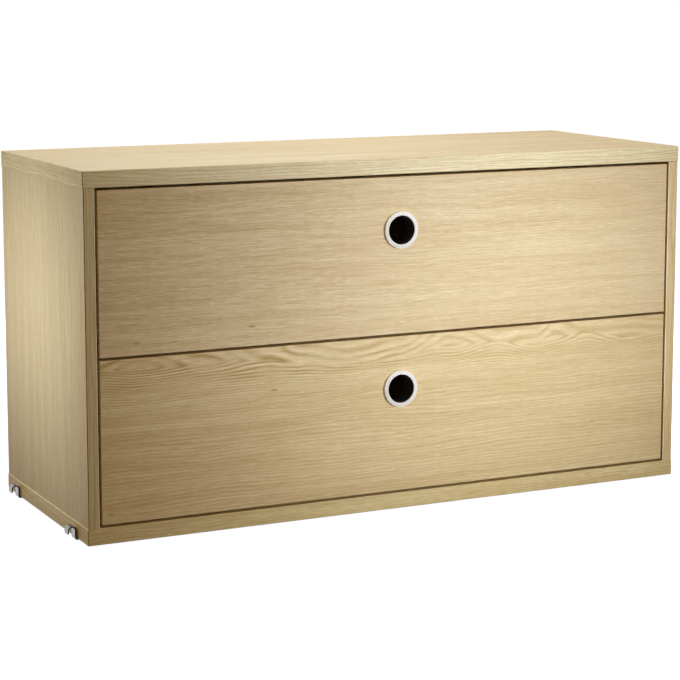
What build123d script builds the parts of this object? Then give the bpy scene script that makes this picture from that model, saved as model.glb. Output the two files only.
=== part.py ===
from build123d import *
import os

# A hanging chest with two drawers: veneered case, flush fronts with finger holes, roller runners, bent hooks.
# Millimetres, +Z up, front towards -Y. The origin is under the middle of the chest, level with the hook feet.
# Pieces on the right are modelled at +X, and those on the left are their mirror images.
os.makedirs("parts", exist_ok=True)

# Case boards
case_width = 780.0
case_depth = 300.0
case_height = 418.5
cap_thickness = 19.0
side_thickness = 13.0
side_inset = 0.8
arris_radius = 0.9
back_thickness = 5.0
back_inset = 8.0
case_groove_depth = 5.0

# Drawer fronts and boxes
reveal = 3.0
front_thickness = 19.0
box_back_gap = 18.0
box_height = 140.0
box_wall = 12.0
box_edge_radius = 1.0
bottom_thickness = 5.0
bottom_rise = 14.0
box_groove_depth = 6.0

# Finger holes: a pale ring in front, a dark liner behind it
ring_opening = 34.0
ring_lap = 2.75
ring_proud = 3.0
ring_drop = 62.5
ring_edge_radius = 0.7
spigot_length = 10.0
spigot_wall = 1.1
liner_wall = 0.8
liner_flange_width = 4.0
liner_flange_thickness = 1.5

# Hanging hooks, bent from steel strip
strip_thickness = 1.5
strip_width = 12.0
hook_slot = 6.8
hook_standoff = 1.2
hook_bend_radius = 1.0
hook_axis_height = 11.1
hook_lip_height = 6.8
hook_inset = 44.0
hook_foot_length = 32.0
hook_foot_corner = 3.0
hook_lip_corner = 2.0
hook_screw_inset = 10.0
hook_screw_margin = 8.0

# Roller runners, pressed from steel sheet
runner_space = 12.7
runner_rise = 6.0
rail_sheet = 1.2
rail_setback = 2.0
rail_flange_gap = 2.1
rail_corner = 4.0
rail_bend_radius = 0.6
channel_gap = 4.0
stop_inset = 8.7
stop_drop = 4.0
drawer_rail_foot = 9.0
drawer_rail_foot_lift = 1.0
tread_gap = 0.5
tread_side_gap = 2.2
roller_diameter = 18.0
roller_hub_radius = 4.6
roller_rim_width = 1.8
roller_dish_depth = 1.4
roller_edge_radius = 0.5
front_axle_setback = 13.0
rear_axle_setback = 12.0
axle_radius = 2.5
axle_shoulder_radius = 3.9
axle_shoulder_length = 1.1
axle_head_length = 1.2
axle_head_gap = 2.3

# Screws and dowels
screw_radius = 1.75
hook_screw_head_radius = 3.0
hook_screw_length = 12.5
rail_screw_head_radius = 3.1
rail_screw_head_height = 1.4
rail_screw_head_round = 0.8
rail_screw_length = 10.5
screw_tip_chamfer = 1.0
recess_length = 3.2
recess_width = 0.7
recess_depth = 0.7
dowel_diameter = 6.0
dowel_chamfer = 0.6
cap_dowel_depth = 11.0
side_dowel_depth = 14.0
front_dowel_depth = 11.0
wall_dowel_depth = 14.0
corner_dowel_depth = 8.0
back_dowel_depth = 16.0

# Fits and cuts
fit_play = 0.05
groove_play = 0.1
roller_play = 0.2
sink_play = 0.1
pilot_play = 1.0
overrun = 5.0

# Places along a length, as shares of it
case_dowel_shares = (-0.24, 0.0, 0.24)
box_dowel_shares = (0.3, 0.82)
case_screw_shares = (0.16, 0.5, 0.9)
drawer_screw_shares = (0.1, 0.45, 0.8)

# Levels and faces worked out from those sizes
front_y = -(case_depth - ring_proud) / 2
back_y = front_y + case_depth
middle_y = (front_y + back_y) / 2
base_z = strip_thickness
floor_z = base_z + cap_thickness
crown_z = base_z + case_height
ceiling_z = crown_z - cap_thickness
end_x = case_width / 2
side_outer_x = end_x - side_inset
wall_x = side_outer_x - side_thickness
side_middle_x = (side_outer_x + wall_x) / 2
groove_y = back_y - back_inset - back_thickness

front_width = 2 * (wall_x - reveal)
front_height = (ceiling_z - floor_z - 3 * reveal) / 2
front_back_y = front_y + front_thickness
box_x = wall_x - runner_space
box_inner_x = box_x - box_wall
box_back_y = groove_y - box_back_gap
box_length = box_back_y - front_back_y
box_lift = runner_rise + drawer_rail_foot_lift + rail_sheet

opening_radius = ring_opening / 2
liner_radius = opening_radius + liner_wall
spigot_inner_radius = liner_radius + fit_play
spigot_radius = spigot_inner_radius + spigot_wall
finger_hole_radius = spigot_radius + fit_play
ring_radius = finger_hole_radius + ring_lap

roller_radius = roller_diameter / 2
roller_gap = rail_sheet + axle_shoulder_length + sink_play
roller_reach = runner_space - rail_sheet - axle_head_gap - axle_head_length - sink_play
roller_width = roller_reach - roller_gap
rail_flange_depth = runner_space - rail_sheet - rail_flange_gap
tread_width = runner_space - tread_side_gap
rear_axle_rise = rail_sheet + roller_play + roller_radius
channel_top = rear_axle_rise + roller_radius + roller_play
rail_height = channel_top + rail_sheet
tread_rise = rail_height + tread_gap
front_axle_rise = tread_rise - roller_play - roller_radius
rail_y = front_back_y + rail_setback
rail_length = box_length
drawer_rail_length = box_length - 2 * rail_setback
front_axle_y = rail_y + front_axle_setback
channel_start = front_axle_setback + roller_radius + channel_gap
rear_axle_y = rail_y + drawer_rail_length - rear_axle_setback
stop_y = rail_y + channel_start + stop_inset
dowel_radius = dowel_diameter / 2

lower_front_z = floor_z + reveal
upper_front_z = lower_front_z + front_height + reveal
drawer_levels = {"lower": lower_front_z, "upper": upper_front_z}
hook_places = {"front": front_y + hook_inset, "rear": back_y - hook_inset}
foot_end_x = end_x - hook_foot_length
hook_screw_x = [end_x - hook_screw_inset, foot_end_x + hook_screw_margin]
case_dowel_y = [middle_y + share * case_depth for share in case_dowel_shares]
case_screw_y = [rail_y + share * rail_length for share in case_screw_shares]
drawer_screw_y = [rail_y + share * drawer_rail_length for share in drawer_screw_shares]


def save(piece, name):
    """Label a finished piece and write it as one STEP file."""
    piece.part.label = name
    export_step(piece.part, f"parts/{name}.step")


def save_pair(piece, name):
    """Write a right-hand piece and its mirror image on the left; {} in the name takes the side."""
    save(piece, name.format("right"))
    with BuildPart() as twin:
        mirror(piece.part, about=Plane.YZ)
    save(twin, name.format("left"))


def front_plane(y):
    """A plane facing the front at depth y, drawn on in X and Z."""
    return Plane.XZ.offset(-y)


def span_box(x_span, y_span, z_span, mode=Mode.ADD):
    """Add, or cut with, a square block between three pairs of faces."""
    spans = (x_span, y_span, z_span)
    with Locations(tuple((low + high) / 2 for low, high in spans)):
        Box(*[high - low for low, high in spans], mode=mode)


def span_rectangle(x_span, z_span, mode=Mode.ADD):
    """Add, or cut with, a rectangle between two pairs of lines."""
    spans = (x_span, z_span)
    with Locations(tuple((low + high) / 2 for low, high in spans)):
        Rectangle(*[high - low for low, high in spans], mode=mode)


def rods(plane, places, radius, length, mode=Mode.ADD):
    """Round rods from the plane along its normal; a negative length runs the other way."""
    with BuildSketch(plane) as discs:
        with Locations(*places):
            Circle(radius)
    extrude(discs.sketch, amount=length, mode=mode)


def holes(plane, places, radius, length):
    """Round holes from the plane along its normal; a negative length runs the other way."""
    rods(plane, places, radius, length, mode=Mode.SUBTRACT)


# Top and bottom panels: eased all round, with a stopped groove for the back and blind dowel holes
back_groove_x = (-wall_x - case_groove_depth, wall_x + case_groove_depth)
back_groove_y = (groove_y - groove_play, groove_y + back_thickness + groove_play)
cap_dowel_places = [(x, y) for x in (-side_middle_x, side_middle_x) for y in case_dowel_y]
hook_screw_places = [(side * x, y) for side in (-1, 1) for x in hook_screw_x for y in hook_places.values()]

with BuildPart() as top_panel:
    span_box((-end_x, end_x), (front_y, back_y), (ceiling_z, crown_z))
    fillet(top_panel.edges(), arris_radius)
    top_groove_z = (ceiling_z - overrun, ceiling_z + case_groove_depth)
    span_box(back_groove_x, back_groove_y, top_groove_z, mode=Mode.SUBTRACT)
    holes(Plane.XY.offset(ceiling_z), cap_dowel_places, dowel_radius, cap_dowel_depth + pilot_play)
save(top_panel, "top_panel")

with BuildPart() as bottom_panel:
    span_box((-end_x, end_x), (front_y, back_y), (base_z, floor_z))
    fillet(bottom_panel.edges(), arris_radius)
    floor_groove_z = (floor_z - case_groove_depth, floor_z + overrun)
    span_box(back_groove_x, back_groove_y, floor_groove_z, mode=Mode.SUBTRACT)
    holes(Plane.XY.offset(floor_z), cap_dowel_places, dowel_radius, -cap_dowel_depth - pilot_play)
    holes(Plane.XY.offset(base_z), hook_screw_places, screw_radius + fit_play, hook_screw_length)
save(bottom_panel, "bottom_panel")

# Side panels: butted between the caps, grooved for the back, drilled for dowels and runner screws
with BuildPart() as side_panel:
    span_box((wall_x, side_outer_x), (front_y, back_y), (floor_z, ceiling_z))
    fillet(side_panel.edges().filter_by(Axis.Z), arris_radius)
    side_groove_x = (wall_x - overrun, wall_x + case_groove_depth)
    span_box(side_groove_x, back_groove_y, (floor_z - overrun, ceiling_z + overrun), mode=Mode.SUBTRACT)
    side_dowel_places = [(side_middle_x, y) for y in case_dowel_y]
    holes(Plane.XY.offset(ceiling_z), side_dowel_places, dowel_radius, -side_dowel_depth - pilot_play)
    holes(Plane.XY.offset(floor_z), side_dowel_places, dowel_radius, side_dowel_depth + pilot_play)
    for front_z in drawer_levels.values():
        screw_places = [(y, front_z + runner_rise + rear_axle_rise) for y in case_screw_y]
        holes(Plane.YZ.offset(wall_x), screw_places, screw_radius + fit_play, rail_screw_length)
save_pair(side_panel, "{}_side_panel")

# Back panel: slid into the grooves before the top goes on
with BuildPart() as back_panel:
    back_reach_x = wall_x + case_groove_depth - groove_play
    back_low_z = floor_z - case_groove_depth + groove_play
    back_high_z = ceiling_z + case_groove_depth - groove_play
    back_span_y = (groove_y, groove_y + back_thickness)
    span_box((-back_reach_x, back_reach_x), back_span_y, (back_low_z, back_high_z))
save(back_panel, "back_panel")

# Case dowels: glued into the ends of the sides and into the caps
with BuildPart() as case_dowels:
    case_dowel_length = cap_dowel_depth + side_dowel_depth
    low_plane = Plane.XY.offset(floor_z - cap_dowel_depth)
    high_plane = Plane.XY.offset(ceiling_z - side_dowel_depth)
    rods(low_plane, cap_dowel_places, dowel_radius - fit_play, case_dowel_length)
    rods(high_plane, cap_dowel_places, dowel_radius - fit_play, case_dowel_length)
    chamfer(case_dowels.edges().filter_by(GeomType.CIRCLE), dowel_chamfer)
save(case_dowels, "case_dowels")

# Hanging hooks: a foot under the bottom panel, a leg up beside its end, an arch and a short outer lip
leg_inner_x = end_x + hook_standoff
leg_outer_x = leg_inner_x + strip_thickness
lip_inner_x = leg_outer_x + hook_slot
lip_outer_x = lip_inner_x + strip_thickness
arch_x = leg_outer_x + hook_slot / 2
arch_inner_z = hook_axis_height + hook_slot / 2
arch_outer_z = arch_inner_z + strip_thickness
outer_bend_radius = hook_bend_radius + strip_thickness
bend_x = leg_outer_x - outer_bend_radius
leg_inner_top = (leg_inner_x, hook_axis_height)
leg_outer_top = (leg_outer_x, hook_axis_height)
lip_inner_top = (lip_inner_x, hook_axis_height)
lip_outer_top = (lip_outer_x, hook_axis_height)

for place, hook_y in hook_places.items():
    with BuildPart() as hook:
        with BuildSketch(front_plane(hook_y)):
            with BuildLine():
                Line((foot_end_x, 0), (bend_x, 0))
                CenterArc((bend_x, outer_bend_radius), outer_bend_radius, -90, 90)
                Line((leg_outer_x, outer_bend_radius), leg_outer_top)
                ThreePointArc(leg_outer_top, (arch_x, arch_inner_z), lip_inner_top)
                Line(lip_inner_top, (lip_inner_x, hook_lip_height))
                Line((lip_inner_x, hook_lip_height), (lip_outer_x, hook_lip_height))
                Line((lip_outer_x, hook_lip_height), lip_outer_top)
                ThreePointArc(lip_outer_top, (arch_x, arch_outer_z), leg_inner_top)
                Line(leg_inner_top, (leg_inner_x, outer_bend_radius))
                CenterArc((bend_x, outer_bend_radius), hook_bend_radius, -90, 90)
                Polyline((bend_x, strip_thickness), (foot_end_x, strip_thickness), (foot_end_x, 0))
            make_face()
        extrude(amount=strip_width / 2, both=True)
        fillet(hook.edges().filter_by(Axis.Z).group_by(Axis.X)[0], hook_foot_corner)
        lip_end = hook.faces().filter_by(Axis.Z).group_by(Axis.X)[-1].sort_by(Axis.Z)[0]
        fillet(lip_end.edges().filter_by(Axis.X), hook_lip_corner)
        with Locations(*[Plane((x, hook_y, 0), z_dir=(0, 0, -1)) for x in hook_screw_x]):
            CounterSinkHole(
                screw_radius + sink_play,
                hook_screw_head_radius + sink_play,
                strip_thickness + overrun,
                counter_sink_angle=90,
            )
    save_pair(hook, place + "_{}_hook")

# Hook screws: countersunk, cross-recessed, driven up through the hook feet
with BuildPart() as hook_screw:
    head_top_z = sink_play + hook_screw_head_radius - screw_radius
    with BuildSketch(Plane.XZ):
        with BuildLine():
            Polyline(
                (0, sink_play),
                (hook_screw_head_radius, sink_play),
                (screw_radius, head_top_z),
                (screw_radius, hook_screw_length - screw_radius),
                (0, hook_screw_length),
                (0, sink_play),
            )
        make_face()
    revolve(axis=Axis.Z)
    for length, width in ((recess_length, recess_width), (recess_width, recess_length)):
        recess_z = (sink_play - overrun, sink_play + recess_depth)
        span_box((-length / 2, length / 2), (-width / 2, width / 2), recess_z, mode=Mode.SUBTRACT)

with BuildPart() as hook_screws:
    with Locations(*hook_screw_places):
        add(hook_screw.part)
save(hook_screws, "hook_screws")

# Runner screw: pan-headed and cross-recessed, drawn with its head towards -X and its seat at the origin
with BuildPart() as rail_screw:
    rods(Plane.YZ, [(0, 0)], rail_screw_head_radius, -rail_screw_head_height)
    fillet(rail_screw.edges().sort_by(Axis.X)[0], rail_screw_head_round)
    rods(Plane.YZ, [(0, 0)], screw_radius, rail_screw_length)
    chamfer(rail_screw.edges().sort_by(Axis.X)[-1], screw_tip_chamfer)
    for length, width in ((recess_length, recess_width), (recess_width, recess_length)):
        recess_x = (-rail_screw_head_height - overrun, recess_depth - rail_screw_head_height)
        span_box(recess_x, (-length / 2, length / 2), (-width / 2, width / 2), mode=Mode.SUBTRACT)


def rivet(x_back, way, y, z):
    """One roller rivet: a shank from the back of its rail web, a shoulder, and a head past the roller."""
    head_start = roller_reach + sink_play
    for start, length, radius in (
        (0, head_start, axle_radius),
        (rail_sheet, axle_shoulder_length, axle_shoulder_radius),
        (head_start, axle_head_length, axle_shoulder_radius),
    ):
        rods(Plane.YZ.offset(x_back + way * start), [(y, z)], radius, way * length)


# Case rails: a channel for the rear roller, with the front roller on a bare tongue ahead of it
for level, front_z in drawer_levels.items():
    rail_z = front_z + runner_rise
    with BuildPart() as case_rail:
        with BuildSketch(front_plane(rail_y + channel_start)) as channel:
            span_rectangle((wall_x - rail_flange_depth, wall_x), (rail_z, rail_z + rail_height))
            span_rectangle(
                (wall_x - rail_flange_depth - overrun, wall_x - rail_sheet),
                (rail_z + rail_sheet, rail_z + channel_top),
                mode=Mode.SUBTRACT,
            )
            fillet(channel.vertices().group_by(Axis.X)[-2], rail_bend_radius)
        extrude(amount=channel_start - rail_length)
        tongue_y = (rail_y, rail_y + channel_start)
        span_box((wall_x - rail_sheet, wall_x), tongue_y, (rail_z, rail_z + rail_height))
        fillet(case_rail.edges().filter_by(Axis.X).group_by(Axis.Y)[0], rail_corner)
        stop_z = (rail_z + channel_top - stop_drop, rail_z + rail_height)
        span_box((wall_x - rail_flange_depth, wall_x - rail_sheet), (stop_y - rail_sheet, stop_y), stop_z)
        axle_place = (front_axle_y, rail_z + front_axle_rise)
        screw_places = [(y, rail_z + rear_axle_rise) for y in case_screw_y]
        holes(Plane.YZ.offset(wall_x), [axle_place], axle_radius + fit_play, -rail_sheet)
        holes(Plane.YZ.offset(wall_x), screw_places, screw_radius + sink_play, -rail_sheet)
    save_pair(case_rail, level + "_{}_case_rail")

with BuildPart() as case_rail_screws:
    for front_z in drawer_levels.values():
        screw_z = front_z + runner_rise + rear_axle_rise
        with Locations(*[(wall_x - rail_sheet, y, screw_z) for y in case_screw_y]):
            add(rail_screw.part)
    mirror(about=Plane.YZ)
save(case_rail_screws, "case_rail_screws")

with BuildPart() as case_rail_rivets:
    for front_z in drawer_levels.values():
        rivet(wall_x, -1, front_axle_y, front_z + runner_rise + front_axle_rise)
    mirror(about=Plane.YZ)
save(case_rail_rivets, "case_rail_rivets")

# Rollers: moulded wheels, dished on both faces, in front on the case and behind on the drawer
roller_places = {
    "front": (wall_x - roller_gap - roller_width, front_axle_y, front_axle_rise),
    "rear": (box_x + roller_gap, rear_axle_y, rear_axle_rise),
}
for level, front_z in drawer_levels.items():
    for place, (roller_x, axle_y, axle_rise) in roller_places.items():
        axle = (axle_y, front_z + runner_rise + axle_rise)
        near_face = Plane.YZ.offset(roller_x)
        far_face = Plane.YZ.offset(roller_x + roller_width)
        with BuildPart() as roller:
            rods(near_face, [axle], roller_radius, roller_width)
            fillet(roller.edges().filter_by(GeomType.CIRCLE), roller_edge_radius)
            for face, depth in ((near_face, roller_dish_depth), (far_face, -roller_dish_depth)):
                with BuildSketch(face):
                    with Locations(axle):
                        Circle(roller_radius - roller_rim_width)
                        Circle(roller_hub_radius, mode=Mode.SUBTRACT)
                extrude(amount=depth, mode=Mode.SUBTRACT)
            holes(near_face, [axle], axle_radius + fit_play, roller_width)
        save_pair(roller, f"{level}_{{}}_{place}_roller")

# Drawers
for level, front_z in drawer_levels.items():
    rail_z = front_z + runner_rise
    box_z = front_z + box_lift
    box_span_z = (box_z, box_z + box_height)
    bottom_z = box_z + bottom_rise
    groove_z = (bottom_z - groove_play, bottom_z + bottom_thickness + groove_play)
    groove_reach_x = box_inner_x + box_groove_depth
    back_face_y = box_back_y - box_wall
    ring_place = (0, front_z + front_height - ring_drop)
    box_dowel_z = [box_z + share * box_height for share in box_dowel_shares]
    wall_middle_x = (box_inner_x + box_x) / 2
    front_dowel_places = [(x, z) for x in (-wall_middle_x, wall_middle_x) for z in box_dowel_z]
    back_dowel_places = [(back_face_y + box_wall / 2, z) for z in box_dowel_z]
    screw_places = [(y, rail_z + rear_axle_rise) for y in drawer_screw_y]

    # Front: veneered board with the finger hole, grooved and drilled behind
    with BuildPart() as drawer_front:
        front_span_z = (front_z, front_z + front_height)
        span_box((-front_width / 2, front_width / 2), (front_y, front_back_y), front_span_z)
        fillet(drawer_front.edges(), arris_radius)
        front_groove_y = (front_back_y - box_groove_depth, front_back_y + overrun)
        span_box((-groove_reach_x, groove_reach_x), front_groove_y, groove_z, mode=Mode.SUBTRACT)
        holes(front_plane(front_back_y), [ring_place], finger_hole_radius, front_thickness)
        holes(front_plane(front_back_y), front_dowel_places, dowel_radius, front_dowel_depth + pilot_play)
    save(drawer_front, f"{level}_drawer_front")

    # Box sides: grooved for the bottom, rounded along the top
    with BuildPart() as drawer_side:
        span_box((box_inner_x, box_x), (front_back_y, box_back_y), box_span_z)
        fillet(drawer_side.edges().filter_by(Axis.Y).group_by(Axis.Z)[-1], box_edge_radius)
        side_groove_y = (front_back_y - overrun, back_face_y + box_groove_depth)
        span_box((box_inner_x - overrun, groove_reach_x), side_groove_y, groove_z, mode=Mode.SUBTRACT)
        own_dowel_places = [(wall_middle_x, z) for z in box_dowel_z]
        holes(front_plane(front_back_y), own_dowel_places, dowel_radius, -wall_dowel_depth - pilot_play)
        holes(Plane.YZ.offset(box_inner_x), back_dowel_places, dowel_radius, corner_dowel_depth + pilot_play)
        holes(Plane.YZ.offset(box_x), screw_places, screw_radius + fit_play, -rail_screw_length)
    save_pair(drawer_side, level + "_{}_drawer_side")

    # Box back: between the sides
    with BuildPart() as drawer_back:
        span_box((-box_inner_x, box_inner_x), (back_face_y, box_back_y), box_span_z)
        fillet(drawer_back.edges().filter_by(Axis.X).group_by(Axis.Z)[-1], box_edge_radius)
        back_groove_span_y = (back_face_y - overrun, back_face_y + box_groove_depth)
        back_groove_span_x = (-box_inner_x - overrun, box_inner_x + overrun)
        span_box(back_groove_span_x, back_groove_span_y, groove_z, mode=Mode.SUBTRACT)
        for side in (-1, 1):
            end_plane = Plane.YZ.offset(side * box_inner_x)
            holes(end_plane, back_dowel_places, dowel_radius, -side * (back_dowel_depth + pilot_play))
    save(drawer_back, f"{level}_drawer_back")

    # Bottom: let into grooves on all four sides
    with BuildPart() as drawer_bottom:
        bottom_reach_x = groove_reach_x - groove_play
        bottom_span_y = (
            front_back_y - box_groove_depth + groove_play,
            back_face_y + box_groove_depth - groove_play,
        )
        bottom_span_z = (bottom_z, bottom_z + bottom_thickness)
        span_box((-bottom_reach_x, bottom_reach_x), bottom_span_y, bottom_span_z)
    save(drawer_bottom, f"{level}_drawer_bottom")

    # Dowels: front to sides, and sides to back
    with BuildPart() as drawer_dowels:
        front_dowel_plane = front_plane(front_back_y + wall_dowel_depth)
        front_dowel_length = wall_dowel_depth + front_dowel_depth
        rods(front_dowel_plane, front_dowel_places, dowel_radius - fit_play, front_dowel_length)
        for side in (-1, 1):
            inner_end = Plane.YZ.offset(side * (box_inner_x - back_dowel_depth))
            back_dowel_length = side * (back_dowel_depth + corner_dowel_depth)
            rods(inner_end, back_dowel_places, dowel_radius - fit_play, back_dowel_length)
        chamfer(drawer_dowels.edges().filter_by(GeomType.CIRCLE), dowel_chamfer)
    save(drawer_dowels, f"{level}_drawer_dowels")

    # Finger ring: a flange on the front and a spigot in the hole
    with BuildPart() as finger_ring:
        with BuildSketch(front_plane(front_y)):
            with Locations(ring_place):
                Circle(ring_radius)
                Circle(opening_radius, mode=Mode.SUBTRACT)
        extrude(amount=ring_proud)
        fillet(finger_ring.faces().sort_by(Axis.Y)[0].edges(), ring_edge_radius)
        with BuildSketch(front_plane(front_y)):
            with Locations(ring_place):
                Circle(spigot_radius)
                Circle(spigot_inner_radius, mode=Mode.SUBTRACT)
        extrude(amount=-spigot_length)
    save(finger_ring, f"{level}_finger_ring")

    # Finger liner: a sleeve pushed into the ring from inside, with a flange behind the front
    with BuildPart() as finger_liner:
        rods(front_plane(front_y), [ring_place], liner_radius, -front_thickness - liner_flange_thickness)
        flange_radius = finger_hole_radius + liner_flange_width
        rods(front_plane(front_back_y), [ring_place], flange_radius, -liner_flange_thickness)
        liner_depth = front_thickness + liner_flange_thickness
        holes(front_plane(front_y), [ring_place], opening_radius, -liner_depth)
    save(finger_liner, f"{level}_finger_liner")

    # Drawer rails: a foot under the box side, a web beside it, a tread that runs on the front roller
    with BuildPart() as drawer_rail:
        web_x = (box_x, box_x + rail_sheet)
        foot_z = rail_z + drawer_rail_foot_lift
        tread_z = rail_z + tread_rise
        with BuildSketch(front_plane(rail_y)):
            span_rectangle((box_x - drawer_rail_foot, box_x + rail_sheet), (foot_z, foot_z + rail_sheet))
            span_rectangle(web_x, (foot_z, tread_z + rail_sheet))
            span_rectangle((box_x, box_x + tread_width), (tread_z, tread_z + rail_sheet))
        extrude(amount=-drawer_rail_length)
        web_plane = Plane.YZ.offset(box_x + rail_sheet)
        axle_place = (rear_axle_y, rail_z + rear_axle_rise)
        holes(web_plane, [axle_place], axle_radius + fit_play, -rail_sheet)
        holes(web_plane, screw_places, screw_radius + sink_play, -rail_sheet)
    save_pair(drawer_rail, level + "_{}_drawer_rail")

    # Rail screws and rear rivets
    with BuildPart() as drawer_rail_screws:
        with Locations(*[Location((box_x + rail_sheet, y, z), (0, 0, 180)) for y, z in screw_places]):
            add(rail_screw.part)
        mirror(about=Plane.YZ)
    save(drawer_rail_screws, f"{level}_drawer_rail_screws")

    with BuildPart() as drawer_rail_rivets:
        rivet(box_x, 1, *axle_place)
        mirror(about=Plane.YZ)
    save(drawer_rail_rivets, f"{level}_drawer_rail_rivets")
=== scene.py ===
import math

import bpy
import numpy as np
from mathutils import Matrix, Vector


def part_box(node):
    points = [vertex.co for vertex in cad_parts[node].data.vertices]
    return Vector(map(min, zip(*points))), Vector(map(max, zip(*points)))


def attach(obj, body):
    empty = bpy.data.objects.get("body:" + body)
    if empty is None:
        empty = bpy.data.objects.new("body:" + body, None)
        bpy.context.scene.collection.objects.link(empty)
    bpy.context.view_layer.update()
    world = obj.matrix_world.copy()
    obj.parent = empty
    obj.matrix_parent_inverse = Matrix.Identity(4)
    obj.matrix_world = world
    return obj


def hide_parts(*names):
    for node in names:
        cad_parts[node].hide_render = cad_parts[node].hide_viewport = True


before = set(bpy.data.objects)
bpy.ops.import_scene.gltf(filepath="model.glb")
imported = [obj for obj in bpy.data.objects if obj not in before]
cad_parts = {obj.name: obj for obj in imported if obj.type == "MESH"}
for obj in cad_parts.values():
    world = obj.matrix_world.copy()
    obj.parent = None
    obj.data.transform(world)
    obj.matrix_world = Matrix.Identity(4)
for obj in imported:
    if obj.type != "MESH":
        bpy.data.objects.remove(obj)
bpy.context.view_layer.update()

# Bottom panel: a 19 mm board faced with sliced oak veneer and banded with oak round its edges.
# It is sanded and sealed with a clear matt lacquer. Its grain runs along the chest, and along each banded edge.
MM = 0.001
bottom_leaf = ("#e6d09c", "#ddc58d", "#c6a96c")


def linear(hex_colour):
    """An sRGB hex colour as the linear values that a shader takes.
    Each channel c is c / 12.92 up to 0.04045, and ((c + 0.055) / 1.055) to the power 2.4 above it."""
    c = np.array([int(hex_colour[i : i + 2], 16) for i in (1, 3, 5)]) / 255
    return (*np.where(c <= 0.04045, c / 12.92, ((c + 0.055) / 1.055) ** 2.4), 1.0)


def add_node(tree, kind, inputs=None, stops=(), **settings):
    """Add one shader node. An input is a constant or the socket that is linked to it, and stops are a ramp's
    (place, colour) pairs from left to right."""
    node = tree.nodes.new("ShaderNode" + kind)
    for key, value in settings.items():
        setattr(node, key, value)
    for key, value in (inputs or {}).items():
        if isinstance(value, bpy.types.NodeSocket):
            tree.links.new(value, node.inputs[key])
        else:
            node.inputs[key].default_value = value
    for index, (place, colour) in enumerate(stops):
        marks = node.color_ramp.elements
        mark = marks[index] if index < 2 else marks.new(place)
        mark.position = place
        mark.color = colour
    return node


def start_material(name, **constants):
    """A new material with a principled shader, whose constants are set on its own sockets."""
    material = bpy.data.materials.new(name)
    material.use_nodes = True
    shader = material.node_tree.nodes["Principled BSDF"]
    for key, value in constants.items():
        shader.inputs[key.replace("_", " ")].default_value = value
    return material, material.node_tree, shader


def dress(material, *names):
    """Give CAD nodes their finish: every slot of each node takes the material."""
    for name in names:
        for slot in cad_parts[name].material_slots:
            slot.material = material


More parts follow.
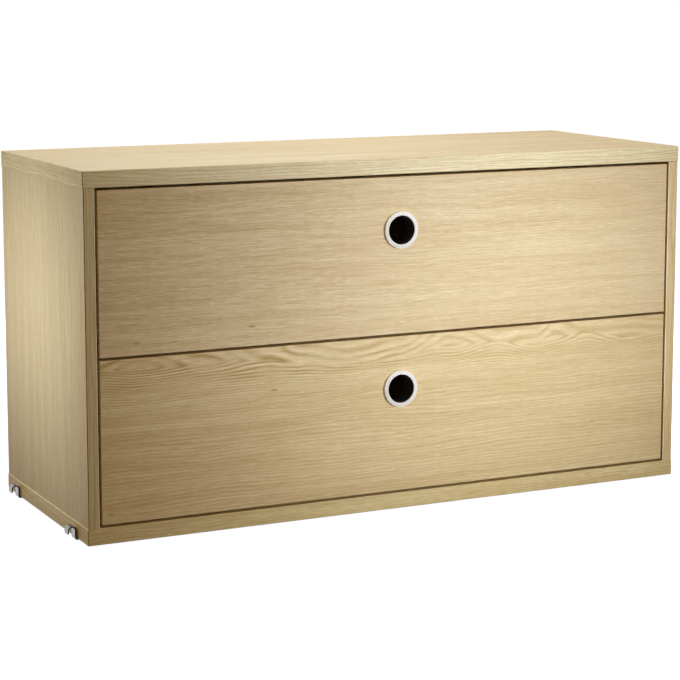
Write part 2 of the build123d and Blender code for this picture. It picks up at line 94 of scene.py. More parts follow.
def oak_veneer(
    name, grain, leaf_mm, ring_mm=2.6, ring_share=0.45, contrast=(1.0, 1.0), shine=0.15, late_at=0.84,
    crown=None, knots_mm=(), colours=("#e4d0a0", "#dbc592", "#c4a972"), upright=0.0, ledge=0.0, band=0.0,
):
    """Sliced oak, sanded and matt lacquered: the eye sees fine lines with the grain, short pores and pale rays.
    The place across the grain is bent by slow noise. The growth rings are the fraction of that place over the
    ring width, or of the rings that a crown gives; in each the wood darkens up to late_at and turns pale again.
    Pores, rays, fibres and stripes are noise drawn out along the grain, and contrast is their strength at the
    two ends of the board. The product of two parts of the normal is greatest on the arris between their faces,
    and there it paints light: upright paints shade on the outer vertical arrises and a highlight on the inner
    ones, the reverse where it is negative, and ledge paints a highlight on outer arrises that face up and shade
    on outer arrises that face down, the reverse on inner ones. The square of the part along Y lightens the
    front and rear edges by band. Real pores are 0.2 mm wide; they are drawn about 1 mm wide so that they show."""
    material, tree, shader = start_material(name, Specular_IOR_Level=shine)
    place = add_node(tree, "TexCoord")
    scaling = {0: place.outputs["Object"], "Scale": 1 / MM}
    point = add_node(tree, "VectorMath", scaling, operation="SCALE").outputs[0]
    x, y, z = add_node(tree, "SeparateXYZ", {0: point}).outputs
    nx, ny, nz = add_node(tree, "SeparateXYZ", {0: place.outputs["Normal"]}).outputs
    if grain == "X":
        end_facing = 0.7
        steepness = add_node(tree, "Math", {0: nx}, operation="ABSOLUTE")
        end_test = {0: steepness.outputs[0], 1: end_facing}
        on_end = add_node(tree, "Math", end_test, operation="GREATER_THAN").outputs[0]
        along = add_node(tree, "Mix", {0: on_end, 2: x, 3: y}).outputs[0]
        level = add_node(tree, "Mix", {0: on_end, 2: y, 3: x}).outputs[0]
        across = add_node(tree, "Math", {0: level, 1: z}, operation="ADD").outputs[0]
    else:
        along = z
        across = add_node(tree, "Math", {0: x, 1: y}, operation="ADD").outputs[0]

    sway_length, sway_width, sway_depth, noise_mean = 200, 40, 11.0, 0.5
    flat = add_node(tree, "CombineXYZ", {"X": along, "Y": across})
    leaf = add_node(tree, "VectorMath", {0: flat.outputs[0], 1: leaf_mm}, operation="ADD").outputs[0]
    slow = add_node(tree, "Mapping", {"Vector": leaf, "Scale": (1 / sway_length, 1 / sway_width, 1)})
    sway_inputs = {"Vector": slow.outputs[0], "Scale": 1.0, "Detail": 2.0}
    sway = add_node(tree, "TexNoise", sway_inputs, noise_dimensions="2D")
    swing = add_node(tree, "Math", {0: sway.outputs["Fac"], 1: noise_mean}, operation="SUBTRACT")
    bending = {0: swing.outputs[0], 1: sway_depth, 2: across}
    bent = add_node(tree, "Math", bending, operation="MULTIPLY_ADD").outputs[0]
    bent_flat = add_node(tree, "CombineXYZ", {"X": along, "Y": bent})
    shifted = {0: bent_flat.outputs[0], 1: leaf_mm}
    bent_leaf = add_node(tree, "VectorMath", shifted, operation="ADD").outputs[0]

    # Each layer: length and width of its marks in mm, detail, the span of noise that it uses, and what it adds.
    # In order: fibres, pores, rays, fine stripes, broad stripes and patches.
    layers = (
        (40, 1.5, 2.5, 0.28, 0.72, 0.11),
        (15, 1.2, 1.0, 0.52, 0.72, -0.07),
        (12, 1.2, 1.0, 0.54, 0.72, 0.08),
        (230, 4.5, 2.0, 0.30, 0.70, 0.05),
        (450, 12, 2.0, 0.30, 0.70, 0.085),
        (330, 80, 2.0, 0.30, 0.70, 0.05),
    )
    marks = -noise_mean * sum(gain for *_, gain in layers if gain > 0)
    for length, width, detail, low, high, gain in layers:
        drawn = add_node(tree, "Mapping", {"Vector": bent_leaf, "Scale": (1 / length, 1 / width, 1)})
        noise_inputs = {"Vector": drawn.outputs[0], "Scale": 1.0, "Detail": detail}
        noise = add_node(tree, "TexNoise", noise_inputs, noise_dimensions="2D")
        span = {"Value": noise.outputs["Fac"], "From Min": low, "From Max": high}
        amount = add_node(tree, "MapRange", span, interpolation_type="SMOOTHSTEP")
        adding = {0: amount.outputs[0], 1: gain, 2: marks}
        marks = add_node(tree, "Math", adding, operation="MULTIPLY_ADD").outputs[0]
    board_end = 400.0
    span = {"Value": along, "From Min": -board_end, "From Max": board_end}
    strength = add_node(tree, "MapRange", {**span, "To Min": contrast[0], "To Max": contrast[1]})
    shading = {0: marks, 1: strength.outputs[0], 2: 1.0}
    light = add_node(tree, "Math", shading, operation="MULTIPLY_ADD").outputs[0]

    # Pin knots: brown spots, longer than high, that fade out from their core.
    knot_mm, core, rim, stain_depth = np.array((5.0, 5.0, 1.7)), 0.2, 1.3, -0.3
    for knot in knots_mm:
        scaled = add_node(tree, "VectorMath", {0: point, 1: tuple(1 / knot_mm)}, operation="MULTIPLY")
        spot = tuple(np.array(knot) / knot_mm)
        gap = add_node(tree, "VectorMath", {0: scaled.outputs[0], 1: spot}, operation="DISTANCE")
        span = {"Value": gap.outputs["Value"], "From Min": core, "From Max": rim}
        fading = {**span, "To Min": stain_depth, "To Max": 0.0}
        stain = add_node(tree, "MapRange", fading, interpolation_type="SMOOTHSTEP")
        light = add_node(tree, "Math", {0: light, 1: stain.outputs[0]}, operation="ADD").outputs[0]

    # Arrises: by upright, painted shade as a dark line on an outer vertical one and a painted highlight on an
    # inner one; by ledge, a painted highlight on an outer arris that faces up and painted shade on one that
    # faces down. The product is a half there, so it is doubled. The edge bands come from other wood than the
    # faces and differ in tone.
    hand = add_node(tree, "Math", {0: x}, operation="SIGN")
    outward = add_node(tree, "Math", {0: nx, 1: hand.outputs[0]}, operation="MULTIPLY").outputs[0]
    forward = add_node(tree, "Math", {0: ny}, operation="ABSOLUTE").outputs[0]
    arrises = ((outward, forward, -2 * upright), (outward, nz, 2 * ledge), (forward, forward, band))
    for first, second, gain in arrises:
        turned_in = add_node(tree, "Math", {0: first, 1: second}, operation="MULTIPLY")
        adding = {0: turned_in.outputs[0], 1: gain, 2: light}
        light = add_node(tree, "Math", adding, operation="MULTIPLY_ADD").outputs[0]

    drift_length, drift_width, drift_rings, end_softness = 500, 45, 7.0, 0.5
    wander = add_node(tree, "Mapping", {"Vector": leaf, "Scale": (1 / drift_length, 1 / drift_width, 1)})
    drift_inputs = {"Vector": wander.outputs[0], "Scale": 1.0, "Detail": 3.0}
    drift = add_node(tree, "TexNoise", drift_inputs, noise_dimensions="2D").outputs["Fac"]
    if grain == "X":
        softer = {0: on_end, 1: -end_softness * ring_share, 2: ring_share}
        ring_share = add_node(tree, "Math", softer, operation="MULTIPLY_ADD").outputs[0]
    if crown:
        rings, ring_share = crown(tree, along, bent, drift, ring_share)
    else:
        even = add_node(tree, "Math", {0: bent, 1: ring_mm}, operation="DIVIDE").outputs[0]
        rings = add_node(tree, "Math", {0: drift, 1: drift_rings, 2: even}, operation="MULTIPLY_ADD").outputs[0]
    ring = add_node(tree, "Math", {0: rings}, operation="FRACT")
    early, middle, late = (linear(hex_colour) for hex_colour in colours)
    middle_at = 0.54 * late_at
    stops = ((0.0, early), (middle_at, middle), (late_at, late), (1.0, early))
    ring_colour = add_node(tree, "ValToRGB", {"Fac": ring.outputs[0]}, stops)
    mixing = {0: ring_share, 6: middle, 7: ring_colour.outputs["Color"]}
    mixed = add_node(tree, "Mix", mixing, data_type="RGBA", clamp_factor=False)

    # Darker wood is also browner: green and blue fall faster than red.
    green_power, blue_power = 1.4, 2.0
    green = add_node(tree, "Math", {0: light, 1: green_power}, operation="POWER")
    blue = add_node(tree, "Math", {0: light, 1: blue_power}, operation="POWER")
    tone = add_node(tree, "CombineXYZ", {"X": light, "Y": green.outputs[0], "Z": blue.outputs[0]})
    colour = add_node(tree, "VectorMath", {0: mixed.outputs[2], 1: tone.outputs[0]}, operation="MULTIPLY")
    tree.links.new(colour.outputs[0], shader.inputs["Base Color"])
    gloss = {"Value": light, "From Min": 0.85, "From Max": 1.1, "To Min": 0.52, "To Max": 0.42}
    roughness = add_node(tree, "MapRange", gloss)
    tree.links.new(roughness.outputs[0], shader.inputs["Roughness"])
    bump = add_node(tree, "Bump", {"Height": light, "Strength": 0.25, "Distance": 0.4 * MM})
    tree.links.new(bump.outputs[0], shader.inputs["Normal"])
    return material


# Its outer vertical arrises take painted shade, and its outer arrises that face up take a strong painted
# highlight.
bottom_oak = oak_veneer(
    "oak_veneer_bottom_panel", "X", (0, 310, 0), ring_mm=3.1, ring_share=0.6, shine=0.14, colours=bottom_leaf,
    upright=0.65, ledge=1.0,
)
dress(bottom_oak, "bottom_panel")

# Case dowels: turned beech pins, glued blind into the ends of the sides and into the caps.
# Beech shows even, pinkish wood with short brown flecks.


def turned_beech(name):
    """Beech, turned smooth: even colour, with flecks 2 mm long and 0.5 mm wide."""
    fleck_length, fleck_width = 2 * MM, 0.5 * MM
    material, tree, shader = start_material(name, Roughness=0.6)
    place = add_node(tree, "TexCoord")
    stretch = (1 / fleck_width, 1 / fleck_width, 1 / fleck_length)
    drawn = add_node(tree, "Mapping", {"Vector": place.outputs["Object"], "Scale": stretch})
    flecks = add_node(tree, "TexNoise", {"Vector": drawn.outputs[0], "Scale": 1.0, "Detail": 1.0})
    stops = ((0.55, linear("#d9b98c")), (0.72, linear("#b98a5c")))
    colour = add_node(tree, "ValToRGB", {"Fac": flecks.outputs["Fac"]}, stops)
    tree.links.new(colour.outputs["Color"], shader.inputs["Base Color"])
    return material


beech = turned_beech("beech_turned")
dress(beech, "case_dowels")

# Side panels: 13 mm boards between the caps, veneered with the grain upright and set back 0.8 mm at each end.
# They stand on dowels and are glued. The right one was cut from a warmer leaf.
left_leaf, right_leaf = ("#dec99e", "#d6c091", "#bfa471"), ("#eacf9e", "#e2c691", "#c9aa70")
for hand, leaf_mm, leaf_colours in (("left", (120, 40, 0), left_leaf), ("right", (610, 520, 0), right_leaf)):
    # Their outer vertical arrises take painted shade, and the inner ones beside the fronts a painted highlight.
    side_oak = oak_veneer(
        f"oak_veneer_{hand}_side", "Z", leaf_mm, ring_mm=5.2, ring_share=0.5, contrast=(0.64, 0.64), shine=0.12,
        colours=leaf_colours, upright=0.9,
    )
    dress(side_oak, f"{hand}_side_panel")

# Back panel: a 5 mm board, veneered on its rear face with the grain along the chest.
# It is slid into grooves in the sides and caps before the case is glued up.
dress(oak_veneer("oak_veneer_back_panel", "X", (930, 77, 0), ring_mm=3.6, ring_share=0.6), "back_panel")

# Top panel: the same veneered board as the bottom one, with its best leaf on top and paler bands.
# It is glued down on the dowels of the sides. Its lacquer shines a little more.
# Its outer vertical arrises take painted shade, and its outer arrises that face up a faint painted highlight.
top_oak = oak_veneer(
    "oak_veneer_top_panel", "X", (350, 845, 0), ring_mm=3.4, ring_share=0.6, shine=0.3, upright=0.65, ledge=0.1,
    band=0.1,
)
dress(top_oak, "top_panel")

# Hooks: strips of 1.5 mm mild steel, bent to an arch, zinc plated and passivated clear.
# Each is screwed under the bottom panel with two countersunk screws.
hands = ("left", "right")


def zinc_plate(name, dull="#a9adb2", bright="#cdd0d3", edges=None):
    """Zinc plate over rolled steel: a bright cool grey, with clouds about 3 mm across. Where edges is given,
    faces that look along Y are the shear-cut edges of the strip, duller than its rolled faces and painted dark
    as shade."""
    cloud, edge_facing = 3 * MM, 0.6
    material, tree, shader = start_material(name, Metallic=1.0)
    place = add_node(tree, "TexCoord")
    clouds_inputs = {"Vector": place.outputs["Object"], "Scale": 1 / cloud, "Detail": 3.0}
    clouds = add_node(tree, "TexNoise", clouds_inputs)
    stops = ((0.3, linear(dull)), (0.7, linear(bright)))
    colour = add_node(tree, "ValToRGB", {"Fac": clouds.outputs["Fac"]}, stops).outputs["Color"]
    # Painted shade: faces that look along Y take the dark edges colour, far darker than bare steel.
    if edges:
        facing = add_node(tree, "SeparateXYZ", {0: place.outputs["Normal"]})
        steepness = add_node(tree, "Math", {0: facing.outputs["Y"]}, operation="ABSOLUTE")
        edge_test = {0: steepness.outputs[0], 1: edge_facing}
        sheared_and_shaded = add_node(tree, "Math", edge_test, operation="GREATER_THAN")
        mixing = {0: sheared_and_shaded.outputs[0], 6: colour, 7: linear(edges)}
        colour = add_node(tree, "Mix", mixing, data_type="RGBA").outputs[2]
    tree.links.new(colour, shader.inputs["Base Color"])
    gloss = {"Value": clouds.outputs["Fac"], "From Min": 0.3, "From Max": 0.7, "To Min": 0.34, "To Max": 0.22}
    roughness = add_node(tree, "MapRange", gloss)
    tree.links.new(roughness.outputs[0], shader.inputs["Roughness"])
    return material


zinc = zinc_plate("zinc_plated_steel")
# The hooks' shear-cut edges are painted near black as shade.
strip = zinc_plate("zinc_plated_strip_steel", "#7d8084", "#a2a4a6", edges="#3f4042")
dress(strip, *[f"{place}_{hand}_hook" for place in ("front", "rear") for hand in hands])
dress(zinc, "hook_screws")

# Case rails: 1.2 mm steel sheet, roll-formed to a channel and powder coated white.
# Each is held to its side by three pan-head screws and carries a nylon roller on a rivet near its front end.
levels = ("lower", "upper")


def powder_coat(name, hex_colour):
    """Powder coat on steel: even white with a shallow orange peel about 1.2 mm across."""
    peel_size, peel_depth = 1.2 * MM, 0.05 * MM
    material, tree, shader = start_material(name, Base_Color=linear(hex_colour), Roughness=0.38)
    place = add_node(tree, "TexCoord")
    peel_inputs = {"Vector": place.outputs["Object"], "Scale": 1 / peel_size, "Detail": 1.0}
    peel = add_node(tree, "TexNoise", peel_inputs)
    bump = add_node(tree, "Bump", {"Height": peel.outputs["Fac"], "Strength": 0.3, "Distance": peel_depth})
    tree.links.new(bump.outputs[0], shader.inputs["Normal"])
    return material


def moulded(name, hex_colour, roughness, grit_mm, shine=0.5):
    """A moulded plastic: one colour, with the fine spark texture of the mould as a shallow bump of that grit,
    which breaks up the shine."""
    grit_depth = 0.03 * MM
    colour = linear(hex_colour)
    constants = {"Base_Color": colour, "Roughness": roughness, "Specular_IOR_Level": shine}
    material, tree, shader = start_material(name, **constants)
    place = add_node(tree, "TexCoord")
    grit_inputs = {"Vector": place.outputs["Object"], "Scale": 1 / (grit_mm * MM), "Detail": 2.0}
    grit = add_node(tree, "TexNoise", grit_inputs)
    bump = add_node(tree, "Bump", {"Height": grit.outputs["Fac"], "Strength": 0.2, "Distance": grit_depth})
    tree.links.new(bump.outputs[0], shader.inputs["Normal"])
    return material


white_coat = powder_coat("powder_coated_steel", "#ecebe6")
nylon = moulded("nylon_moulded", "#e9e7dd", roughness=0.42, grit_mm=0.6)
dress(white_coat, *[f"{level}_{hand}_case_rail" for level in levels for hand in hands])
dress(zinc, "case_rail_screws", "case_rail_rivets")
dress(nylon, *[f"{level}_{hand}_front_roller" for level in levels for hand in hands])

# Drawer fronts: 19 mm boards, veneered and banded like the case, with the finger hole bored through.
# The upper leaf is straight grained; the lower one was sliced near the heart and has a crown along its top.
lower_low, lower_high = (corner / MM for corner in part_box("lower_drawer_front"))
upper_low, upper_high = (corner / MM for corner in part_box("upper_drawer_front"))


def heart_crown(tree, along, bent, drift, ring_share):
    """Rings of a flat cut, nested about the heart line. With d the depth below the heart, the ring number is d
    over 4.2 mm below it and minus d times the rings per mm above it, less the height of the heart in rings,
    which fades as exp of minus the square of d over 30 mm. Where the height falls along the board, the rings
    close in points. They show clearly in patches about 60 mm long, and more at the left end than at the
    right."""
    below_mm, fade_mm, depth_mm, crown_rings, mean_height = 4.2, 30.0, 30.0, 5.2, 0.3
    dip_start, dip_end, turn_softness, drift_rings = 25.0, 75.0, 0.5, 2.5
    patch_length, patch_width, faintest, left_clearest, right_clearest = 60, 16, 0.35, 1.75, 0.55
    # Along the board, as a share of its length: the heart's height and depth as shares, and the rings per mm
    # above it.
    heart_line = (
        (0.0, 0.72, 0.38, 0.06), (0.055, 1.0, 0.42, 0.06), (0.16, 0.56, 0.50, 0.06), (0.27, 0.12, 0.60, 0.07),
        (0.33, 0.09, 0.76, 0.12), (0.40, 0.06, 0.88, 0.13), (0.50, 0.22, 0.85, 0.11), (0.59, 0.48, 0.52, 0.07),
        (0.68, 0.06, 0.46, 0.07), (0.75, 0.25, 0.74, 0.10), (0.785, 0.34, 0.56, 0.07),
        (0.845, 0.08, 0.46, 0.07), (0.93, 0.22, 0.74, 0.10), (1.0, 0.10, 0.70, 0.10),
    )
    span = {"Value": along, "From Min": lower_low.x, "From Max": lower_high.x}
    share = add_node(tree, "MapRange", span).outputs[0]
    stops = [(place, (height, depth, above, 1.0)) for place, height, depth, above in heart_line]
    line = add_node(tree, "ValToRGB", {"Fac": share}, stops)
    line.color_ramp.interpolation = "EASE"
    height, depth, above = add_node(tree, "SeparateColor", {0: line.outputs["Color"]}).outputs
    edge_place = lower_high.z + lower_low.y
    below_edge = add_node(tree, "Math", {0: edge_place, 1: bent}, operation="SUBTRACT").outputs[0]
    span = {"Value": below_edge, "From Min": dip_start, "From Max": dip_end, "To Min": depth_mm, "To Max": 0.0}
    dip = add_node(tree, "MapRange", span, interpolation_type="SMOOTHSTEP")
    heart = add_node(tree, "Math", {0: depth, 1: dip.outputs[0]}, operation="MULTIPLY")
    d = add_node(tree, "Math", {0: below_edge, 1: heart.outputs[0]}, operation="SUBTRACT").outputs[0]
    lower = add_node(tree, "Math", {0: d, 1: 1 / below_mm}, operation="MULTIPLY")
    rise = add_node(tree, "Math", {0: above, 1: -1.0}, operation="MULTIPLY")
    upper = add_node(tree, "Math", {0: d, 1: rise.outputs[0]}, operation="MULTIPLY")
    meeting = {0: lower.outputs[0], 1: upper.outputs[0], 2: turn_softness}
    nested = add_node(tree, "Math", meeting, operation="SMOOTH_MAX")
    ratio = add_node(tree, "Math", {0: d, 1: 1 / fade_mm}, operation="MULTIPLY").outputs[0]
    square = add_node(tree, "Math", {0: ratio, 1: ratio}, operation="MULTIPLY")
    fade = add_node(tree, "Math", {0: math.exp(-1), 1: square.outputs[0]}, operation="POWER").outputs[0]
    lift = add_node(tree, "Math", {0: height, 1: mean_height}, operation="SUBTRACT")
    raised = add_node(tree, "Math", {0: lift.outputs[0], 1: fade}, operation="MULTIPLY")
    total = {0: raised.outputs[0], 1: -crown_rings, 2: nested.outputs[0]}
    rings = add_node(tree, "Math", total, operation="MULTIPLY_ADD").outputs[0]
    rings = add_node(tree, "Math", {0: drift, 1: drift_rings, 2: rings}, operation="MULTIPLY_ADD").outputs[0]
    place = add_node(tree, "CombineXYZ", {"X": along, "Y": bent})
    stretch = (1 / patch_length, 1 / patch_width, 1)
    cloud = add_node(tree, "Mapping", {"Vector": place.outputs[0], "Scale": stretch})
    patch_inputs = {"Vector": cloud.outputs[0], "Scale": 1.0, "Detail": 1.0}
    patches = add_node(tree, "TexNoise", patch_inputs, noise_dimensions="2D")
    most = add_node(tree, "MapRange", {"Value": share, "To Min": left_clearest, "To Max": right_clearest})
    span = {"Value": patches.outputs["Fac"], "From Min": 0.32, "From Max": 0.68}
    clearing = {**span, "To Min": faintest, "To Max": most.outputs[0]}
    clear = add_node(tree, "MapRange", clearing, interpolation_type="SMOOTHSTEP")
    shown = add_node(tree, "MapRange", {"Value": fade, "To Min": ring_share, "To Max": clear.outputs[0]})
    return rings, shown.outputs[0]


upper_knots = [(x, upper_low.y, z) for x, z in ((-330.0, 226.0), (-190.0, 235.0))]
lower_knots = [(x, lower_low.y, z) for x, z in ((-163.0, 159.0), (-363.0, 35.0))]
upper_leaf, lower_leaf = ("#e7cfa4", "#dec597", "#c7a976"), ("#e9d0a0", "#dfc592", "#c3a369")
# On both fronts the vertical arrises at their ends take a faint painted highlight.
upper_oak = oak_veneer(
    "oak_veneer_upper_front", "X", (40, 1240, 0), ring_share=0.32, contrast=(1.28, 0.68), shine=0.14,
    knots_mm=upper_knots, colours=upper_leaf, upright=-0.2,
)
lower_oak = oak_veneer(
    "oak_veneer_lower_front", "X", (700, 2100, 0), ring_share=0.36, contrast=(1.06, 0.70), shine=0.14,
    late_at=0.62, crown=heart_crown, knots_mm=lower_knots, colours=lower_leaf, upright=-0.2,
)
dress(upper_oak, "upper_drawer_front")
dress(lower_oak, "lower_drawer_front")

# Finger rings: moulded in white plastic, a flange on the face of the front and a spigot in its hole.
# A black liner is pushed into the spigot from behind and has a flange of its own inside the drawer.
flange_radius, opening_radius = 21.75, 17.0
flange_height = upper_low.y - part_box("upper_finger_ring")[0].y / MM
spigot_radius, spigot_bore, spigot_length = 18.95, 17.85, 10.0
liner_radius, liner_flange_radius, liner_flange, liner_chamfer = 17.8, 23.0, 1.5, 0.3
front_board = upper_high.y - upper_low.y
rim, lip, lip_wall = 0.35, 0.5, 0.9
step, step_foot, step_head = 0.12, 2.55, 2.4


def turned(name, outline_mm, centre, steps=144, sharp_degrees=40):
    """A closed outline carried round the Y axis through centre: a point of radius r and depth y goes to
    x = r cos a, z = r sin a for every angle a of the circle. Corners over sharp_degrees stay crisp."""
    radius, depth = (outline_mm * MM).T[:, :, None]
    angle = np.linspace(0, 2 * np.pi, steps, endpoint=False)[None, :]
    surface = np.broadcast_arrays(radius * np.cos(angle), depth + 0 * angle, radius * np.sin(angle))
    grid = np.stack(surface, -1) + np.array(centre)
    row, column = np.indices(grid.shape[:2])
    number = row * steps + column
    below = np.roll(number, -1, 0)
    quads = np.stack([number, np.roll(number, -1, 1), np.roll(below, -1, 1), below], -1)
    mesh = bpy.data.meshes.new(name)
    mesh.from_pydata(grid.reshape(-1, 3), [], quads.reshape(-1, 4).tolist())
    mesh.shade_smooth()
    mesh.set_sharp_from_angle(angle=math.radians(sharp_degrees))
    piece = bpy.data.objects.new(name, mesh)
    bpy.context.scene.collection.objects.link(piece)
    return piece


def arc(centre, radius, start, end, steps=9):
    """Points of an arc: centre plus radius times the cosine and sine of angles spread from start to end, in
    degrees."""
    angle = np.radians(np.linspace(start, end, steps))
    return np.array(centre) + radius * np.stack((np.cos(angle), np.sin(angle)), -1)


white_plastic = moulded("plastic_moulded_white", "#e6dfd4", roughness=0.45, grit_mm=0.5, shine=0.2)
black_plastic = moulded("plastic_moulded_black", "#1c1c17", roughness=0.85, grit_mm=0.5, shine=0.3)
ring_outline = np.vstack((
    (flange_radius, 0.0),
    arc((flange_radius - rim, rim - flange_height + step), rim, 0, -90),
    (opening_radius + step_foot, step - flange_height),
    (opening_radius + step_head, -flange_height),
    arc((opening_radius + lip, lip - flange_height), lip, -90, -180),
    (opening_radius, lip_wall - flange_height),
    (spigot_bore, lip_wall - flange_height),
    (spigot_bore, spigot_length),
    (spigot_radius, spigot_length),
    (spigot_radius, 0.0),
))
liner_outline = np.array((
    (opening_radius, lip_wall - flange_height),
    (opening_radius, front_board + liner_flange),
    (liner_flange_radius - liner_chamfer, front_board + liner_flange),
    (liner_flange_radius, front_board + liner_flange - liner_chamfer),
    (liner_flange_radius, front_board),
    (liner_radius, front_board),
    (liner_radius, lip_wall - flange_height),
))
for level in levels:
    low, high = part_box(f"{level}_finger_ring")
    centre = (0.0, upper_low.y * MM, (low.z + high.z) / 2)
    ring = turned(f"{level}_finger_ring_moulded", ring_outline, centre)
    liner = turned(f"{level}_finger_liner_moulded", liner_outline, centre)
    for piece, part, plastic, slot in (
        (ring, "ring", white_plastic, "pale_plastic"),
        (liner, "liner", black_plastic, "black_plastic"),
    ):
        piece.data.materials.append(plastic)
        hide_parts(f"{level}_finger_{part}")
        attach(piece, f"{level}_drawer")

# Drawer boxes: 12 mm birch plywood sides and back, dowelled and glued, with a 5 mm plywood bottom in grooves.
# The cut edges show the plies, and the faces are sanded and lacquered.


def birch_plywood(name, thickness, plies, node):
    """Birch plywood. On the faces: pale wood with broad soft waves along the grain. On the cut edges: the place
    through the board over the ply thickness, whose odd and even plies are light and dark, with a thin glue line
    at each joint."""
    wave_length, wave_width, face_facing = 260, 40, 0.7
    low, high = (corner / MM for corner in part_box(node))
    axis = "XYZ".index(thickness)
    ply = (high[axis] - low[axis]) / plies
    material, tree, shader = start_material(name, Roughness=0.5, Specular_IOR_Level=0.35)
    place = add_node(tree, "TexCoord")
    scaling = {0: place.outputs["Object"], "Scale": 1 / MM}
    point = add_node(tree, "VectorMath", scaling, operation="SCALE")
    through = add_node(tree, "SeparateXYZ", {0: point.outputs[0]}).outputs[axis]
    facing = add_node(tree, "SeparateXYZ", {0: place.outputs["Normal"]}).outputs[axis]
    depth = add_node(tree, "Math", {0: through, 1: low[axis]}, operation="SUBTRACT")
    count = add_node(tree, "Math", {0: depth.outputs[0], 1: ply}, operation="DIVIDE")
    pairs = add_node(tree, "Math", {0: count.outputs[0], 1: 0.5}, operation="MULTIPLY")
    turn = add_node(tree, "Math", {0: pairs.outputs[0]}, operation="FRACT")
    light_ply, dark_ply, glue = linear("#dcc596"), linear("#b98f5f"), linear("#7d5a36")
    stops = (
        (0.0, glue), (0.04, light_ply), (0.45, light_ply), (0.49, glue), (0.53, dark_ply), (0.95, dark_ply),
        (1.0, glue),
    )
    edge_colour = add_node(tree, "ValToRGB", {"Fac": turn.outputs[0]}, stops)
    grain_axis = 1 if thickness == "X" else 0
    stretch = [1 / wave_width] * 3
    stretch[grain_axis] = 1 / wave_length
    drawn = add_node(tree, "Mapping", {"Vector": point.outputs[0], "Scale": stretch})
    wave_inputs = {"Vector": drawn.outputs[0], "Scale": 1.0, "Detail": 4.0, "Distortion": 1.2}
    waves = add_node(tree, "TexNoise", wave_inputs)
    stops = ((0.3, linear("#e9d8b2")), (0.5, linear("#e2cda2")), (0.7, linear("#d6bd8d")))
    face_colour = add_node(tree, "ValToRGB", {"Fac": waves.outputs["Fac"]}, stops)
    steepness = add_node(tree, "Math", {0: facing}, operation="ABSOLUTE")
    on_face = add_node(tree, "Math", {0: steepness.outputs[0], 1: face_facing}, operation="GREATER_THAN")
    mixing = {0: on_face.outputs[0], 6: edge_colour.outputs["Color"], 7: face_colour.outputs["Color"]}
    colour = add_node(tree, "Mix", mixing, data_type="RGBA")
    tree.links.new(colour.outputs[2], shader.inputs["Base Color"])
    bump = add_node(tree, "Bump", {"Height": waves.outputs["Fac"], "Strength": 0.15, "Distance": 0.3 * MM})
    tree.links.new(bump.outputs[0], shader.inputs["Normal"])
    return material


wall_plies, bottom_plies = 9, 5
for level in levels:
    for hand in hands:
        side = f"{level}_{hand}_drawer_side"
        dress(birch_plywood(f"birch_plywood_{side}", "X", wall_plies, side), side)
    back, bottom = f"{level}_drawer_back", f"{level}_drawer_bottom"
    dress(birch_plywood(f"birch_plywood_{back}", "Y", wall_plies, back), back)
    dress(birch_plywood(f"birch_plywood_{bottom}", "Z", bottom_plies, bottom), bottom)
    dress(beech, f"{level}_drawer_dowels")

# Drawer rails: 1.2 mm steel sheet folded to a step and powder coated, screwed to the foot of each box side.
# The rear rollers turn on rivets in their webs and run inside the case rails.
for level in levels:
    dress(white_coat, *[f"{level}_{hand}_drawer_rail" for hand in hands])
    dress(nylon, *[f"{level}_{hand}_rear_roller" for hand in hands])
    dress(zinc, f"{level}_drawer_rail_screws", f"{level}_drawer_rail_rivets")

# Floor and surroundings: a plain white studio, dim and warm where it would light the chest, white where it is
# seen. The floor is white paper and keeps the chest's shadow.
white, warm_air = linear("#ffffff"), linear("#ffd17c")
paper_matt, paper_glow, paper_dim = linear("#c4c4c4"), linear("#f4f7fd"), linear("#454545")
reach = 30.0


def seen_directly(tree):
    """The largest of Light Path's camera, glossy and transmission flags: 1 where the surroundings are looked
    at, straight or in a reflection."""
    path = add_node(tree, "LightPath")
    flags = [path.outputs[f"Is {kind} Ray"] for kind in ("Camera", "Glossy", "Transmission")]
    seen = add_node(tree, "Math", {0: flags[0], 1: flags[1]}, operation="MAXIMUM")
    return add_node(tree, "Math", {0: seen.outputs[0], 1: flags[2]}, operation="MAXIMUM").outputs[0]


world = bpy.data.worlds.new("white_studio")
world.use_nodes = True
bpy.context.scene.world = world
air = world.node_tree
air.nodes.clear()
dim = add_node(air, "Background", {"Color": warm_air, "Strength": 0.30})
bright = add_node(air, "Background", {"Color": white, "Strength": 1.0})
shown = add_node(air, "MixShader", {0: seen_directly(air), 1: dim.outputs[0], 2: bright.outputs[0]})
add_node(air, "OutputWorld", {"Surface": shown.outputs[0]})

paper = bpy.data.materials.new("white_paper_floor")
paper.use_nodes = True
sheet = paper.node_tree
sheet.nodes.clear()
matt = add_node(sheet, "BsdfDiffuse", {"Color": paper_matt})
glow = add_node(sheet, "Emission", {"Color": paper_glow, "Strength": 1.0})
lit = add_node(sheet, "AddShader", {0: matt.outputs[0], 1: glow.outputs[0]})
grey = add_node(sheet, "BsdfDiffuse", {"Color": paper_dim})
floor_mix = add_node(sheet, "MixShader", {0: seen_directly(sheet), 1: grey.outputs[0], 2: lit.outputs[0]})
add_node(sheet, "OutputMaterial", {"Surface": floor_mix.outputs[0]})

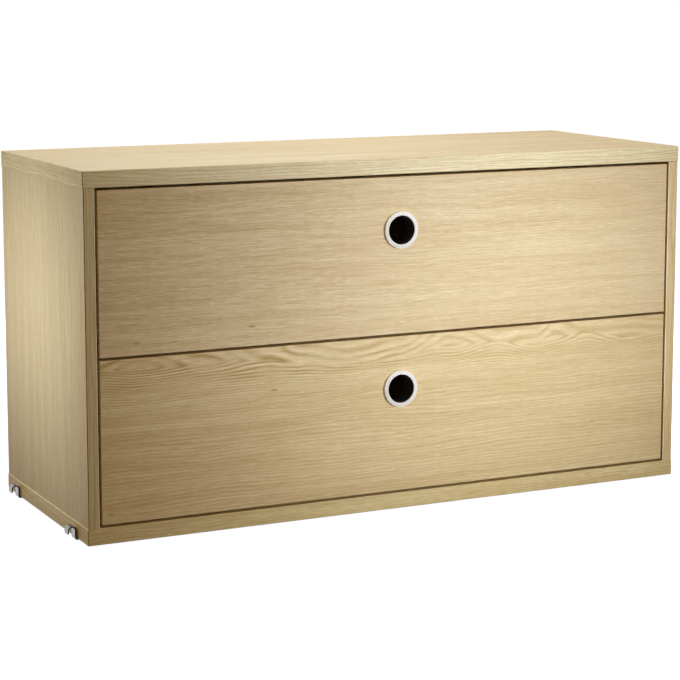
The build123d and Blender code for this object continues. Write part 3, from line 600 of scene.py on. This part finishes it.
floor_mesh = bpy.data.meshes.new("floor")
corners = [(-reach, -reach, 0.0), (reach, -reach, 0.0), (reach, reach, 0.0), (-reach, reach, 0.0)]
floor_mesh.from_pydata(corners, [], [(0, 1, 2, 3)])
floor_mesh.materials.append(paper)
floor = bpy.data.objects.new("floor", floor_mesh)
bpy.context.scene.collection.objects.link(floor)

# Light: soft boxes. The front box stands off at the right and is narrowed to the fronts, the left box is close
# to the left end, and the top and high boxes hang over the top panel and the open drawers. The right and back
# boxes light the two sides that the photograph doesn't show.
for name, hex_colour, watts, size, spread, place, aim in (
    ("front_box", "#e4efff", 1.54, 0.55, 44, (0.50, -1.20, 0.33), (0.11, -0.15, 0.25)),
    ("left_box", "#e2eeff", 0.43, 0.25, 88, (-0.73, 0.09, 0.268), (-0.39, 0.01, 0.264)),
    ("top_box", "#f8fcff", 5.0, 0.8, 180, (0.10, 0.60, 1.17), (-0.10, 0.00, 0.42)),
    ("high_box", "#e4f2ff", 1.6, 0.5, 100, (0.00, -0.24, 1.40), (0.00, -0.22, 0.30)),
    ("right_box", "#eef4ff", 10.0, 0.4, 180, (1.50, 0.35, 0.21), (0.39, 0.05, 0.20)),
    ("back_box", "#eef4ff", 7.0, 0.4, 180, (0.30, 1.45, 0.21), (0.00, 0.15, 0.20)),
):
    lamp = bpy.data.lights.new(name, "AREA")
    lamp.color = linear(hex_colour)[:3]
    lamp.energy = watts
    lamp.size = size
    lamp.spread = math.radians(spread)
    holder = bpy.data.objects.new(name, lamp)
    holder.visible_camera = False
    bpy.context.scene.collection.objects.link(holder)
    line = np.array(aim) - np.array(place)
    holder.location = place
    holder.rotation_euler = (math.acos(-line[2] / np.linalg.norm(line)), 0, math.atan2(-line[0], line[1]))

# Camera: a long lens to the left of the chest and a little above it, at the photograph's viewing angle.
# Its lens, place and turn were fitted to the corners of the case, and its small shift frames the chest.
tilt_down, turn_right = 0.14083, 0.45341
camera = bpy.data.cameras.new("camera")
camera.lens = 110.3
camera.shift_y = -0.1
viewer = bpy.data.objects.new("camera", camera)
viewer.location = (-1.1239, -2.2927, 0.6287)
viewer.rotation_euler = (math.pi / 2 - tilt_down, 0, -turn_right)
bpy.context.scene.collection.objects.link(viewer)
bpy.context.scene.camera = viewer
bpy.context.scene.view_settings.view_transform = "Standard"
